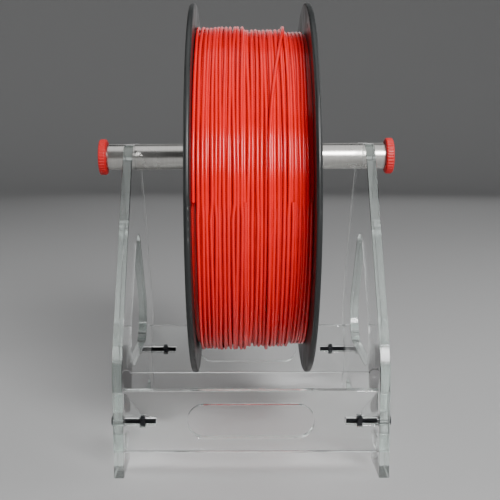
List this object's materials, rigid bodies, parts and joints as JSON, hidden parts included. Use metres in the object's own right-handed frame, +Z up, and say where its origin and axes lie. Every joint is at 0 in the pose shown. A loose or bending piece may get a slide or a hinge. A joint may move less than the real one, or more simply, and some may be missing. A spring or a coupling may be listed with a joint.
{
  "type": "spool holder stand",
  "caption": "Table-top stand of clear sheet panels with feet, whose steel tube lies in open notches and carries a loaded spool that turns and lifts out with the tube.",
  "frame": {"origin": "on the table, midway between the side panels and between the front and rear feet; the tube lies 1.5 mm to the left of the middle, so the box around the whole object is centred 1.5 mm to the left", "axes": "+X along the tube to the right, +Y from the front cross panel to the rear one, +Z up"},
  "size_m": [0.1606, 0.2, 0.2337],
  "materials": {
    "clear_acrylic": "gloss",
    "stainless_steel": "satin",
    "red_plastic": "satin",
    "black_oxide_steel": "satin",
    "black_plastic": "satin",
    "red_filament": "gloss"
  },
  "bodies": {
    "stand": {"cross_panel_front": "clear_acrylic", "cross_panel_rear": "clear_acrylic", "nut_front_left": "black_oxide_steel", "nut_front_right": "black_oxide_steel", "nut_rear_left": "black_oxide_steel", "nut_rear_right": "black_oxide_steel", "screw_front_left": "black_oxide_steel", "screw_front_right": "black_oxide_steel", "screw_rear_left": "black_oxide_steel", "screw_rear_right": "black_oxide_steel", "side_panel_left": "clear_acrylic", "side_panel_right": "clear_acrylic"},
    "axle": {"axle_tube": "stainless_steel"},
    "spool": {"spool_flange_left": "black_plastic", "spool_flange_right": "black_plastic", "spool_core": "black_plastic", "filament_winding": "red_filament"},
    "cap_left": {"end_cap_left": "red_plastic"},
    "cap_right": {"end_cap_right": "red_plastic"}
  },
  "joints": [
    {"name": "axle_lift", "type": "slide", "parent": "stand", "child": "axle", "axis": [0, 0, 1], "range_m": [0, 0.13]},
    {"name": "spool_spin", "type": "hinge", "parent": "axle", "child": "spool", "pos_m": [0.0009, 0, 0.1337], "axis": [1, 0, 0], "continuous": true},
    {"name": "cap_left_pull", "type": "slide", "parent": "axle", "child": "cap_left", "axis": [-1, 0, 0], "range_m": [0, 0.02]},
    {"name": "cap_right_pull", "type": "slide", "parent": "axle", "child": "cap_right", "axis": [1, 0, 0], "range_m": [0, 0.02]}
  ]
}
